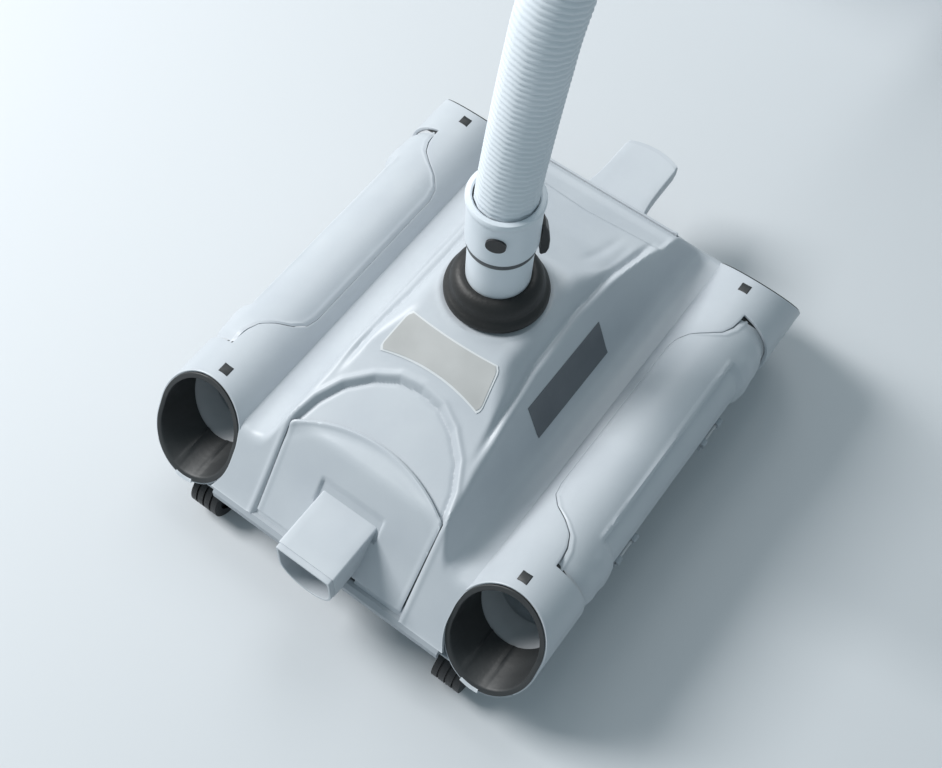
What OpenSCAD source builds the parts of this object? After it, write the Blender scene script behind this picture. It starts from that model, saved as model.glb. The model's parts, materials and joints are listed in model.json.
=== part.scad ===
// Pool cleaner: a wheeled body between two open side tubes, two tilting flaps,
// a swivel on top and a long ribbed feed hose. Millimetres, +Z up, front at -Y.
// The origin is on the floor, under the swivel's axis.

/* [Body] */
// Distance between the axes of the two side tubes
tube_gap = 270; // [266:1:276]
// Height of the side tubes' axes above the floor
tube_z = 82; // [82:1:86]
// Outer radius of a side tube's half rounds
tube_r = 37; // [36.5:0.5:37.5]
// Half of the straight part between a side tube's two half rounds
tube_rise = 4; // [3:0.5:5]
// Wall thickness of the moulded shells
wall = 3; // [2.5:0.5:3]
// Distance from the middle of the body to the centre of each mouth
mouth_y = 182; // [180:1:186]
// Lean of the mouths' planes from vertical, facing up
mouth_tilt = 31.4; // [28:0.2:34]

/* [Side covers] */
// Half of the length of a side cover
cover_half = 126; // [120:1:128]

/* [Flaps] */
// Width of the front and rear flaps
flap_w = 132; // [124:2:132]
// Front end of the front flap's spout
front_spout_y = -224; // [-226:1:-222]
// Rear end of the rear flap's spout
rear_spout_y = 230; // [226:1:230]
// Width of the flaps' spouts
spout_w = 50; // [46:1:52]

/* [Wheels] */
// Radius of the wheels
wheel_r = 20; // [18:0.5:20]
// Width of the wheels
wheel_w = 24; // [20:1:24]
// Distance of the wheels' middles from the centre line
wheel_x = 115; // [114:1:116]
// Distance of the wheels' axles from the swivel, fore and aft
wheel_y = 190; // [186:1:192]

/* [Swivel and hose] */
// Outer radius of the swivel pipe
pipe_r = 23.1; // [22.5:0.1:23.1]
// Outer radius of the hose collar
collar_r = 25.4; // [25.2:0.1:25.8]
// Height of the hose collar's top rim
collar_top = 286; // [284:1:288]
// Outer diameter of the hose
hose_d = 43; // [41:0.5:43]
// Radius of the stored coil, at the middle of its turns
coil_r = 225; // [222:1:228]

/* [Drive] */
// Tooth module of the timer gears
gear_module = 1.5; // [1.5]
// Teeth on the pinions
pinion_teeth = 12; // [12]
// Teeth on the large gears
wheel_teeth = 36; // [36]
// Blades on the turbine wheel
turbine_blades = 8; // [6:1:10]

/* [Hidden] */
$fn = 64;
eps = 0.01;

tube_x = tube_gap / 2;
part_z = 56;             // plane where the upper shell meets the chassis
floor_z = 45;            // underside of the chassis floor
gap = 0.8;               // moulded gap between neighbouring panels
body_half = 104;         // half width of the middle body
web_half = 119;          // half width of the chassis floor, into the tubes' walls
screw_x = 89;            // rows of screws that hold the shell to the chassis
screw_ys = [-110, 30, 110];
body_front = -206;
body_rear = 206;
mouth_slope = tan(mouth_tilt);

// Front half of the middle body seen from the side, outer and inner faces, as [y, z]
body_side = [[body_front, floor_z], [body_front, 52], [-198, 61.5], [-150, 131], [-86, 152], [-42, 176]];
cavity_side = [[-202.5, 40], [-202.5, 51], [-194.4, 61.5], [-148.1, 128.5], [-85, 149.2], [-41.3, 173]];
// Half of the middle body's cross section, outer and inner faces, as [x, z]
body_cross = [[body_half, 40], [body_half, 104], [90, 103], [79, 108], [63, 150], [38, 176]];
cavity_cross = [[101, 39], [101, 101], [89, 100], [77, 105.5], [60.3, 148.5], [36.7, 173]];

// Flaps: pivots and the slope of their plates
front_pivot = [-147, 123.5];
rear_pivot = [147, 123.5];
pivot_bore = 2.05;
pivot_pin = 2;
ear_r = 4;
flap_gap = 1.8;            // moulded gap around the front flap, wide enough for its tilt
boss_w = 4;              // reach of the shell's pin bosses beyond a flap's side
front_arch_r = 119;      // plan radius of the front flap's arched rear edge
front_arch_y = -131;     // rearmost point of that edge
spout_top_front = 98;
spout_top_rear = 100;
spout_wall = 2.5;
front_spout_side = 25;   // straight height of the front spout's sides
rear_spout_side = 8;     // and of the rear spout's

// Side cover hinge
hinge_x = tube_x + 32.5;
hinge_z = 57.5;
hinge_ys = [-60, 60];
knuckle_r = 3.2;
knuckle_half = 7;
lug_w = 6;               // width of a chassis lug
lug_step = 11;           // from a knuckle's middle to a lug's middle

// Swivel
bearing_bore = pipe_r + 0.05;
collar_z = 240;
button_z = 264;
button_r = 6.9;
button_angles = [-67, 53, 173];

// Drive train: places as [y, z], axes along X
turbine_at = [52, 112];
idler_at = [20, 129.4];
valve_at = [-12, 112];
shaft_r = 3;
stem_r = 4;

// Hose: the lead's route in its own upright plane, as [distance out, height]
lead_heading = 10.25;    // degrees from +Y towards +X
lead = [
    [0, 262], [1, 290], [7, 340], [14, 388], [23, 435], [46, 498], [87, 546.5], [145, 578],
    [202, 587], [268, 588], [335, 577], [390, 546], [427, 507], [453, 454], [487, 382],
    [521, 308], [555, 236], [581, 180], [606.6, 125.4], [627.9, 90.7], [656.4, 61.6],
    [690.8, 39.7], [729.2, 26.1], [769.7, 21.5], [795, 21.5], [820, 21.5]
];
coil_at = [-66.9, 894.3];
coil_levels = 4;
turn_rise = 44;
tail_z = 198;
tail_start = 0;
tail_end = 95;
tail_rings = 8;
tail_lift = 10;

// Draw a [y, z] outline between two x values
module along_x(x0, x1) {
    translate([x0, 0, 0]) rotate([90, 0, 90]) linear_extrude(height = x1 - x0) children();
}

// Draw an [x, z] outline between two y values
module along_y(y0, y1) {
    translate([0, y1, 0]) rotate([90, 0, 0]) linear_extrude(height = y1 - y0) children();
}

// A cylinder along X
module rod_x(x0, x1, at, r) {
    translate([x0, at[0], at[1]]) rotate([0, 90, 0]) cylinder(h = x1 - x0, r = r);
}

// A box between two corners
module block(a, b) {
    translate(a) cube(b - a);
}

// Both sides of the body
module both_sides() {
    children();
    mirror([1, 0, 0]) children();
}

// Both ends of the body
module both_ends() {
    children();
    mirror([0, 1, 0]) children();
}

// Half a cross section closed by its mirror image
function closed(half) = concat(half, [for (i = [len(half) - 1:-1:0]) [-half[i][0], half[i][1]]]);

module oblong(r) {
    for (s = [-1, 1]) translate([0, s * tube_rise]) circle(r);
    square([2 * r, 2 * tube_rise], center = true);
}

module body_solid() {
    intersection() {
        along_x(-body_half, body_half) polygon(closed(body_side));
        along_y(body_front, body_rear) polygon(closed(body_cross));
    }
}

module body_cavity() {
    intersection() {
        along_x(-body_half, body_half) polygon(closed(cavity_side));
        along_y(body_front, body_rear) polygon(closed(cavity_cross));
    }
}

// The space between the two mouth planes of a tube, set back by inset
module mouth_limits(inset = 0) {
    low = 30;
    high = 130;
    reach = mouth_y - inset;
    bottom_y = reach + (tube_z - low) * mouth_slope;
    top_y = reach - (high - tube_z) * mouth_slope;
    along_x(tube_x - 40, tube_x + 40)
        polygon([[-bottom_y, low], [-top_y, high], [top_y, high], [bottom_y, low]]);
}

// The right-hand tube as a solid of radius r
module tube_solid(r, inset = 0) {
    intersection() {
        translate([tube_x, 0, tube_z]) along_y(-215, 215) oblong(r);
        mouth_limits(inset);
    }
}

module tube_bore(r) {
    translate([tube_x, 0, tube_z]) along_y(-220, 220) oblong(r);
}

// Middle body and both tubes as thin walls
module body_walls() {
    difference() {
        union() {
            difference() {
                body_solid();
                body_cavity();
            }
            both_sides() tube_solid(tube_r);
        }
        both_sides() tube_bore(tube_r - wall);
    }
}

// The part of the right-hand tube that its cover closes, shrunk by a margin
module cover_zone(margin) {
    top = 140;
    out = tube_x + 45;
    block([tube_x - 24 + margin, -84 + margin, part_z + margin], [out, 84 - margin, top]);
    block([tube_x + 5 + margin, -cover_half + margin, part_z + margin], [out, cover_half - margin, top]);
}

// The space that the front flap fills, grown by a margin
module front_flap_zone(margin) {
    half = flap_w / 2 + margin;
    intersection() {
        translate([0, front_arch_y - front_arch_r, 40]) cylinder(h = 120, r = front_arch_r + margin, $fn = 128);
        block([-half, -199 - margin, 62 - margin], [half, -125, 150]);
    }
}

// Flat-topped spout section under the line z = 0, made smaller by shrink
module spout_outline(side, shrink) {
    r = spout_w / 2 - shrink;
    intersection() {
        translate([0, -side]) circle(r);
        translate([-30, -side - 60]) square([60, 60 + eps]);
    }
    translate([-r, -side]) square([2 * r, side - shrink]);
}

// Notch for the front spout in the walls below its flap
module front_spout_notch() {
    translate([0, 0, spout_top_front]) along_y(-215, -190) spout_outline(front_spout_side, -0.9);
}

module upper_shell() {
    color([0.77, 0.79, 0.82]) difference() {
        union() {
            intersection() {
                body_walls();
                block([-200, -230, part_z], [200, 230, 200]);
            }
            difference() {
                translate([0, 0, 154]) cylinder(h = 20, r = 34);
                translate([0, 0, 150]) cylinder(h = 30, r = 31);
            }
            both_sides() {
                both_ends() block([flap_w / 2 + 1, 141, 114], [flap_w / 2 + boss_w, 150, 130]);
                for (y = screw_ys) translate([screw_x, y, part_z + 0.2]) cylinder(h = 46, r = 5);
            }
        }
        both_sides() {
            cover_zone(0);
            for (y = screw_ys) translate([screw_x, y, 50]) cylinder(h = 35, r = 2);
            both_ends() block([tube_x - 7, 142, 110], [tube_x + 1, 150, 130]);
        }
        front_flap_zone(flap_gap);
        front_spout_notch();
        along_x(-flap_w / 2 - 1.2, flap_w / 2 + 1.2)
            polygon([[145.6, 126.9], [150.5, 130.3], [158, 135.5], [208, 66], [208, 61], [188, 61]]);
        translate([0, 0, 150]) cylinder(h = 40, r = 31);
        for (at = [front_pivot, rear_pivot])
            rod_x(-flap_w / 2 - boss_w, flap_w / 2 + boss_w, at, pivot_pin);
        rod_x(-102, 102, [-24, 70], 6.3);
        rod_x(-102, 102, [0, 70], 6.3);
    }
}

module fork_leg(x) {
    block([x, wheel_y - 9, wheel_r], [x + 3, wheel_y + 9, floor_z + 1]);
    rod_x(x, x + 3, [wheel_y, wheel_r], 9);
}

// A lug for a side cover's pin, joined to the tube's wall below it
module hinge_lug() {
    translate([hinge_x, 0, hinge_z]) rotate([-90, 0, 0]) cylinder(h = lug_w, r = knuckle_r);
    block([hinge_x - 10, 0, 49], [hinge_x + 1, lug_w, part_z - 0.2]);
}

module chassis() {
    color([0.72, 0.74, 0.77]) difference() {
        union() {
            intersection() {
                body_walls();
                block([-200, -230, 38], [200, 230, part_z - 0.2]);
            }
            block([-100, body_front + 3, floor_z], [100, body_rear - 3, floor_z + wall]);
            both_sides() {
                block([97, -202, floor_z], [web_half, 202, floor_z + wall]);
                both_ends() {
                    fork_leg(wheel_x - wheel_w / 2 - 5);
                    fork_leg(wheel_x + wheel_w / 2 + 2);
                }
                for (y = screw_ys) translate([screw_x, y, floor_z]) cylinder(h = 10.8, r = 5);
                for (y = hinge_ys)
                    for (s = [-1, 1])
                        translate([0, y + s * lug_step - lug_w / 2, 0]) hinge_lug();
            }
        }
        both_sides() {
            tube_bore(tube_r - wall);
            both_ends() rod_x(90, 140, [wheel_y, wheel_r], 3);
            for (y = screw_ys) {
                translate([screw_x, y, 40]) cylinder(h = 20, r = 2.2);
                translate([screw_x, y, floor_z - 1]) cylinder(h = 3, r = 4);
            }
            block([tube_x - 16, -80, 36], [tube_x + 16, 80, 50]);
            for (y = hinge_ys) {
                translate([hinge_x, y - knuckle_half - 0.6, hinge_z])
                    rotate([-90, 0, 0]) cylinder(h = 2 * knuckle_half + 1.2, r = knuckle_r + 0.6);
                translate([hinge_x, y - 20, hinge_z]) rotate([-90, 0, 0]) cylinder(h = 40, r = 1.5);
            }
        }
        front_spout_notch();
        for (y = [-120, -60, 80])
            block([-45, y - 12, 40], [45, y + 12, 50]);
    }
}

// Dark sleeve inside a mouth, drawn for the rear right corner
module liner() {
    color([0.18, 0.185, 0.19]) {
        difference() {
            intersection() {
                tube_solid(tube_r - wall - 0.3, 1.5);
                block([tube_x - 40, cover_half + 1, 30], [tube_x + 40, 220, 130]);
            }
            tube_bore(tube_r - wall - 2.6);
        }
        block([tube_x - 6, 143, 117.5], [tube_x, 149, 122]);
    }
}

module liner_rear_right() liner();
module liner_rear_left() mirror([1, 0, 0]) liner();
module liner_front_right() mirror([0, 1, 0]) liner();
module liner_front_left() mirror([0, 1, 0]) mirror([1, 0, 0]) liner();

// Slotted tray that keeps the dirt, inside the right-hand tube
module debris_screen() {
    slots = 9;
    pitch = 24;
    color([0.42, 0.44, 0.46]) difference() {
        intersection() {
            tube_bore(31.5);
            block([tube_x - 40, -113, 30], [tube_x + 40, 113, tube_z]);
        }
        tube_bore(29.8);
        for (i = [0:slots - 1])
            for (s = [-1, 1])
                translate([tube_x + s * 22, (i - (slots - 1) / 2) * pitch, tube_z - 24])
                    cube([26, 12, 30], center = true);
        block([tube_x - 14, -78, 36], [tube_x + 14, 78, 60]);
    }
}

module debris_screen_right() debris_screen();
module debris_screen_left() mirror([1, 0, 0]) debris_screen();

module side_cover() {
    color([0.79, 0.81, 0.84]) difference() {
        union() {
            intersection() {
                difference() {
                    tube_solid(tube_r);
                    tube_bore(tube_r - wall);
                }
                cover_zone(gap);
            }
            for (y = hinge_ys)
                translate([hinge_x, y - knuckle_half, hinge_z])
                    rotate([-90, 0, 0]) cylinder(h = 2 * knuckle_half, r = knuckle_r);
            for (y = hinge_ys)
                block([hinge_x - 4, y - knuckle_half, hinge_z], [hinge_x + 1, y + knuckle_half, hinge_z + 6]);
        }
        for (y = hinge_ys) {
            translate([hinge_x, y - 20, hinge_z]) rotate([-90, 0, 0]) cylinder(h = 40, r = 1.55);
            for (s = [-1, 1])
                translate([hinge_x, y + s * lug_step - lug_w / 2 - 0.6, hinge_z])
                    rotate([-90, 0, 0]) cylinder(h = lug_w + 1.2, r = knuckle_r + 0.6);
        }
        tube_bore(tube_r - wall);
    }
}

module side_cover_right() side_cover();
module side_cover_left() mirror([1, 0, 0]) side_cover();

module side_cover_pins() {
    color("silver") both_sides()
        for (y = hinge_ys)
            translate([hinge_x, y - 13.5, hinge_z]) rotate([-90, 0, 0]) cylinder(h = 27, r = 1.5);
}

// Pivot ears of a flap, joined to its plate between two points
module ears(at, upper, lower) {
    for (s = [-1, 1]) {
        x0 = s < 0 ? -flap_w / 2 : flap_w / 2 - 5;
        rod_x(x0, x0 + 5, at, ear_r);
        along_x(x0, x0 + 5) polygon([at + [0, ear_r], upper, lower, at - [0, ear_r]]);
    }
}

module front_flap() {
    color([0.76, 0.78, 0.81]) difference() {
        union() {
            intersection() {
                along_x(-flap_w / 2, flap_w / 2) polygon([
                    [-197.3, 62.5], [-150, 131], [-125, 139.2], [-125, 136], [-148.1, 128.5], [-193.7, 62.5]
                ]);
                front_flap_zone(0);
            }
            translate([0, 0, spout_top_front]) along_y(front_spout_y, -169) spout_outline(front_spout_side, 0);
            ears(front_pivot, [-150.6, 126], [-154.6, 120.5]);
        }
        translate([0, 0, spout_top_front]) along_y(front_spout_y - 1, -150) spout_outline(front_spout_side, spout_wall);
        rod_x(-80, 80, front_pivot, pivot_bore);
        along_x(-30, 30) polygon([[-193.5, 62.5], [-148, 128.3], [-120, 128.3], [-120, 40], [-193.5, 40]]);
    }
}

module rear_flap() {
    color([0.76, 0.78, 0.81]) difference() {
        union() {
            along_x(-flap_w / 2, flap_w / 2)
                polygon([[151.2, 129.2], [197.3, 62.5], [193.7, 62.5], [148.8, 127.5]]);
            translate([0, 0, spout_top_rear]) along_y(169, rear_spout_y) spout_outline(rear_spout_side, 0);
            ears(rear_pivot, [150.6, 126], [154.6, 120.5]);
        }
        translate([0, 0, spout_top_rear]) along_y(150, rear_spout_y + 1) spout_outline(rear_spout_side, spout_wall);
        rod_x(-80, 80, rear_pivot, pivot_bore);
        along_x(-30, 30) polygon([[193.5, 62.5], [148, 127.5], [120, 127.5], [120, 40], [193.5, 40]]);
    }
}

module flap_pins(at) {
    color("silver") both_sides() rod_x(flap_w / 2 - 5, flap_w / 2 + boss_w, at, pivot_pin);
}

module front_flap_pins() flap_pins(front_pivot);
module rear_flap_pins() flap_pins(rear_pivot);

module swivel_boot() {
    color([0.17, 0.17, 0.17]) rotate_extrude() polygon([
        [24.5, 176.2], [38, 176.2], [38, 183], [35, 186], [33.5, 192], [29, 199], [24.5, 199]
    ]);
}

module swivel_bearing() {
    color("white") difference() {
        translate([0, 0, 160]) cylinder(h = 14, r = 30.8);
        translate([0, 0, 150]) cylinder(h = 30, r = bearing_bore);
    }
}

module swivel_seal() {
    color([0.1, 0.1, 0.1]) translate([0, 0, 157.6]) rotate_extrude() translate([25, 0]) circle(1.5);
}

module swivel_pipe() {
    color([0.9, 0.92, 0.94]) difference() {
        union() {
            translate([0, 0, 151]) cylinder(h = 99, r = pipe_r);
            translate([0, 0, 152]) cylinder(h = 4, r = 27);
        }
        translate([0, 0, 140]) cylinder(h = 120, r = 19.5);
    }
}

module hose_collar() {
    color([0.9, 0.92, 0.94]) difference() {
        union() {
            translate([0, 0, collar_z]) cylinder(h = collar_top - collar_z, r = collar_r);
            translate([0, 0, collar_top - 5]) cylinder(h = 5, r = collar_r + 1.2);
        }
        translate([0, 0, collar_z - 1]) cylinder(h = 60, r = pipe_r);
        for (a = button_angles)
            rotate([0, 90, a]) translate([-button_z, 0, 0]) cylinder(h = 40, r = button_r + 0.4);
    }
}

// Round latch button, pointing along +X before it is turned to its angle
module latch_button(a) {
    color([0.2, 0.2, 0.2]) rotate([0, 0, a]) translate([0, 0, button_z]) rotate([0, 90, 0])
        translate([0, 0, collar_r - 1.2]) cylinder(h = 2.4, r = button_r);
}

module latch_button_front() latch_button(button_angles[0]);
module latch_button_right() latch_button(button_angles[1]);
module latch_button_left() latch_button(button_angles[2]);

// One ring of a swept tube, square to the direction dir, with one side along across
function ring(at, dir, across, r, sides) =
    let (up = cross(dir / norm(dir), across))
    [for (k = [0:sides - 1]) at + r * (cos(360 * k / sides) * across + sin(360 * k / sides) * up)];

function heading(points, i) =
    points[min(i + 1, len(points) - 1)] - points[max(i - 1, 0)];

module swept(points, sides_dir, r) {
    sides = 10;
    n = len(points);
    corners = [for (i = [0:n - 1]) each ring(points[i], heading(points, i), sides_dir[i], r, sides)];
    skin = [for (i = [0:n - 2]) for (k = [0:sides - 1])
        [i * sides + k, i * sides + (k + 1) % sides, (i + 1) * sides + (k + 1) % sides, (i + 1) * sides + k]];
    first = [for (k = [sides - 1:-1:0]) k];
    last = [for (k = [0:sides - 1]) (n - 1) * sides + k];
    polyhedron(points = corners, faces = concat([first], skin, [last]), convexity = 6);
}

function lead_point(p) = [p[0] * sin(lead_heading), p[0] * cos(lead_heading), p[1]];
function tail_angle(i) = tail_start + (tail_end - tail_start) * i / (tail_rings - 1);
function tail_height(i) = tail_z + tail_lift * pow(i / (tail_rings - 1), 2);
function tail_point(i) =
    [coil_at[0] + coil_r * cos(tail_angle(i)), coil_at[1] + coil_r * sin(tail_angle(i)), tail_height(i)];

module hose_tube() {
    side = [cos(lead_heading), -sin(lead_heading), 0];
    color([0.92, 0.94, 0.96]) {
        swept([for (p = lead) lead_point(p)], [for (p = lead) side], hose_d / 2);
        swept(
            [for (i = [0:tail_rings - 1]) tail_point(i)],
            [for (i = [0:tail_rings - 1]) [cos(tail_angle(i)), sin(tail_angle(i)), 0]],
            hose_d / 2
        );
    }
}

module hose_coil() {
    height = coil_levels * turn_rise;
    color([0.92, 0.94, 0.96]) translate([coil_at[0], coil_at[1], 0])
        rotate_extrude($fn = 96) translate([coil_r - hose_d / 2, 0]) square([hose_d, height]);
}

// Coupling on the hose's far end, lying along the end of the last turn, its bore
// stopped by a shoulder beside the hose
module hose_connector() {
    end = tail_point(tail_rings - 1);
    color([0.3, 0.32, 0.34]) translate(end) rotate([-90, 0, tail_end]) difference() {
        union() {
            cylinder(h = 34, r = 24.5);
            translate([0, 0, 30]) cylinder(h = 30, r = 29);
        }
        translate([0, 0, -1]) cylinder(h = 20, r = 17);
        translate([0, 0, 6]) cylinder(h = 60, r = 19);
    }
}

module inlet_manifold() {
    color([0.6, 0.62, 0.65]) difference() {
        union() {
            translate([0, 0, 134]) cylinder(h = 16.5, r = 30);
            translate([0, valve_at[0], 131]) cylinder(h = 5, r = 10);
        }
        translate([0, 0, 137]) cylinder(h = 20, r = 27.5);
        translate([0, valve_at[0], 125]) cylinder(h = 20, r = 7);
        block([-5, 20, 130], [5, 26, 140]);
    }
}

module valve_housing() {
    color([0.6, 0.62, 0.65]) difference() {
        rod_x(-34, 28, valve_at, 18);
        rod_x(-31, 25, valve_at, 15);
        rod_x(20, 40, valve_at, stem_r + 0.05);
        translate([0, valve_at[0], 120]) cylinder(h = 20, r = 7);
        for (y = [-24, 0]) translate([0, y, 90]) cylinder(h = 14, r = 4.5);
    }
}

module diverter_valve() {
    color([0.85, 0.5, 0.2]) {
        difference() {
            rod_x(-30, 24, valve_at, 14.7);
            rod_x(-28, 22, valve_at, 11.5);
            translate([0, valve_at[0] - 20, valve_at[1]]) cube([18, 40, 12], center = true);
            translate([0, valve_at[0], valve_at[1] + 14]) cube([18, 14, 20], center = true);
        }
        rod_x(23.5, 54, valve_at, stem_r);
    }
}

// A spur gear outline about the origin, with a tooth pointing along angle
module gear_outline(teeth, angle) {
    pitch_r = teeth * gear_module / 2;
    root = pitch_r - 1.25;
    tip = pitch_r + 0.9;
    circle(root, $fn = 96);
    for (i = [0:teeth - 1])
        rotate(angle + 360 * i / teeth)
            polygon([[root - 1, -1.25], [pitch_r, -0.9], [tip, -0.5], [tip, 0.5], [pitch_r, 0.9], [root - 1, 1.25]]);
}

module gear(x0, x1, at, teeth, angle) {
    translate([0, at[0], at[1]]) along_x(x0, x1) gear_outline(teeth, angle);
}

mesh_out = atan2(idler_at[1] - turbine_at[1], idler_at[0] - turbine_at[0]);
mesh_back = atan2(valve_at[1] - idler_at[1], valve_at[0] - idler_at[0]);
half_pitch = 180 / wheel_teeth;

module valve_gear() {
    color("ivory") difference() {
        gear(47, 53, valve_at, wheel_teeth, mesh_back + 180 + half_pitch);
        rod_x(40, 60, valve_at, stem_r);
    }
}

module drive_pinion() {
    color("ivory") difference() {
        gear(41.5, 46.5, turbine_at, pinion_teeth, mesh_out);
        rod_x(30, 60, turbine_at, shaft_r);
    }
}

module idler_gear() {
    color("ivory") difference() {
        union() {
            gear(42, 46, idler_at, wheel_teeth, mesh_out + 180 + half_pitch);
            gear(46 - eps, 53.5, idler_at, pinion_teeth, mesh_back);
        }
        rod_x(30, 60, idler_at, 2.55);
    }
}

module turbine_housing() {
    color([0.6, 0.62, 0.65]) difference() {
        union() {
            rod_x(-16, 16, turbine_at, 28);
            block([-8, 20, 112], [8, 32, 133.8]);
        }
        rod_x(-13, 17, turbine_at, 25);
        rod_x(-20, 20, turbine_at, 6);
        block([-5, 20.1, 114], [5, 29.9, 140]);
        block([-8, turbine_at[0] + 8, 80], [8, turbine_at[0] + 18, 100]);
    }
}

module turbine_cover() {
    color([0.65, 0.67, 0.7]) difference() {
        rod_x(16.2, 19.2, turbine_at, 28);
        rod_x(10, 30, turbine_at, 6);
    }
}

module turbine_wheel() {
    color([0.3, 0.5, 0.7]) difference() {
        union() {
            rod_x(-11, 11, turbine_at, 7);
            rod_x(-1.5, 1.5, turbine_at, 20);
            for (i = [0:turbine_blades - 1])
                translate([0, turbine_at[0], turbine_at[1]]) rotate([360 * i / turbine_blades, 0, 0])
                    block([-11, 5, -1], [11, 23.5, 1]);
        }
        rod_x(-20, 20, turbine_at, shaft_r);
    }
}

module turbine_shaft() {
    color("silver") rod_x(-22, 47.5, turbine_at, shaft_r);
}

module turbine_bushes() {
    color("goldenrod") difference() {
        union() {
            rod_x(-19, -13.2, turbine_at, 5.9);
            rod_x(15.5, 21, turbine_at, 5.9);
        }
        rod_x(-30, 30, turbine_at, shaft_r + 0.05);
    }
}

module gear_plate() {
    color([0.55, 0.57, 0.6]) {
        difference() {
            block([36, -24, 48.2], [39, 66, 140]);
            rod_x(30, 45, turbine_at, shaft_r + 0.3);
            rod_x(30, 45, valve_at, stem_r + 0.3);
            block([30, -30, 60], [45, 50, 96]);
        }
        rod_x(38, 56, idler_at, 2.5);
    }
}

// A jet pipe: a cross pipe into both tubes with a riser to the valve
module jet_pipe(y) {
    color([0.6, 0.62, 0.65]) difference() {
        union() {
            rod_x(-101.5, 101.5, [y, 70], 6);
            translate([0, y, 66]) cylinder(h = 32, r = 6);
        }
        rod_x(-110, 110, [y, 70], 4.5);
        translate([0, y, 70]) cylinder(h = 40, r = 4.5);
        rod_x(-40, 40, valve_at, 18.2);
    }
}

module jet_pipe_front() jet_pipe(-24);
module jet_pipe_rear() jet_pipe(0);

// A wheel at the rear right corner
module wheel() {
    x0 = wheel_x - wheel_w / 2;
    x1 = wheel_x + wheel_w / 2;
    groove = 1.6;
    color([0.08, 0.08, 0.09]) difference() {
        union() {
            rod_x(x0, x1, [wheel_y, wheel_r], wheel_r - groove);
            for (i = [0:3])
                rod_x(x0 + i * 6.4, x0 + i * 6.4 + 4.8, [wheel_y, wheel_r], wheel_r);
        }
        for (x = [x0 - 1, x1 - 3])
            difference() {
                rod_x(x, x + 4, [wheel_y, wheel_r], 13);
                rod_x(x - 1, x + 5, [wheel_y, wheel_r], 6);
            }
        rod_x(x0 - 1, x1 + 1, [wheel_y, wheel_r], 3.05);
    }
}

module wheel_rear_right() wheel();
module wheel_rear_left() mirror([1, 0, 0]) wheel();
module wheel_front_right() mirror([0, 1, 0]) wheel();
module wheel_front_left() mirror([0, 1, 0]) mirror([1, 0, 0]) wheel();

module wheel_axles() {
    x0 = wheel_x - wheel_w / 2 - 5;
    color("silver") both_sides() both_ends() {
        rod_x(x0 - 1, wheel_x + wheel_w / 2 + 5.5, [wheel_y, wheel_r], 3);
        rod_x(x0 - 2, x0 - 0.2, [wheel_y, wheel_r], 5);
    }
}

module shell_screws() {
    color("silver") both_sides() for (y = screw_ys) {
        translate([screw_x, y, floor_z - 0.6]) cylinder(h = 2.4, r = 3.6);
        translate([screw_x, y, floor_z]) cylinder(h = 36, r = 1.95);
    }
}

// Blank plate on the slope in front of the swivel
module badge_plate() {
    color([0.66, 0.65, 0.62]) along_x(-40, 40)
        polygon([[-51.1, 171.2], [-80.1, 155.4], [-80.4, 156.1], [-51.4, 171.9]]);
}

// Blank label on the right-hand slope
module info_label() {
    color([0.35, 0.37, 0.4]) along_y(-50, 40)
        polygon([[64.2, 147.5], [77.2, 113.3], [78.1, 113.6], [65.1, 147.9]]);
}

upper_shell();
chassis();
liner_front_left();
liner_front_right();
liner_rear_left();
liner_rear_right();
debris_screen_left();
debris_screen_right();
side_cover_left();
side_cover_right();
side_cover_pins();
front_flap();
rear_flap();
front_flap_pins();
rear_flap_pins();
swivel_boot();
swivel_bearing();
swivel_seal();
swivel_pipe();
hose_collar();
latch_button_front();
latch_button_right();
latch_button_left();
hose_tube();
hose_coil();
hose_connector();
inlet_manifold();
valve_housing();
diverter_valve();
valve_gear();
turbine_housing();
turbine_cover();
turbine_wheel();
turbine_shaft();
turbine_bushes();
drive_pinion();
idler_gear();
gear_plate();
jet_pipe_front();
jet_pipe_rear();
wheel_front_left();
wheel_front_right();
wheel_rear_left();
wheel_rear_right();
wheel_axles();
shell_screws();
badge_plate();
info_label();
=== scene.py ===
"""Pool cleaner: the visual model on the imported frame. Lengths in the helpers are in millimetres."""
import json
import math

import bmesh
import bpy
import numpy as np
from mathutils import Matrix, Vector


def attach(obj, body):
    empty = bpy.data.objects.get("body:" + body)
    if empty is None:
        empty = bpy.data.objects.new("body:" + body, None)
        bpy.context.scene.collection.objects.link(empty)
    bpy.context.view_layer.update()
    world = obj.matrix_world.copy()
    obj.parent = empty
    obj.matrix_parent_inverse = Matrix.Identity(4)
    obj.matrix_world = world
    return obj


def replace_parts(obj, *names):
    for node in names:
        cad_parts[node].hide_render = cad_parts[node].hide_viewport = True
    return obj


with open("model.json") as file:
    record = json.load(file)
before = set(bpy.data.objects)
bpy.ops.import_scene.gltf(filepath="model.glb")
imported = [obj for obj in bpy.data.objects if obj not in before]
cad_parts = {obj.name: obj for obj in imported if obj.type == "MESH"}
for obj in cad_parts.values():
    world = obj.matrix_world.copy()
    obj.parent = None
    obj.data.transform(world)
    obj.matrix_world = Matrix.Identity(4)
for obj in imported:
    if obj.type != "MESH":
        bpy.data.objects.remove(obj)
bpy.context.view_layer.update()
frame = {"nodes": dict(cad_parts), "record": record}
nodes = frame["nodes"]
MM = 0.001

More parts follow.
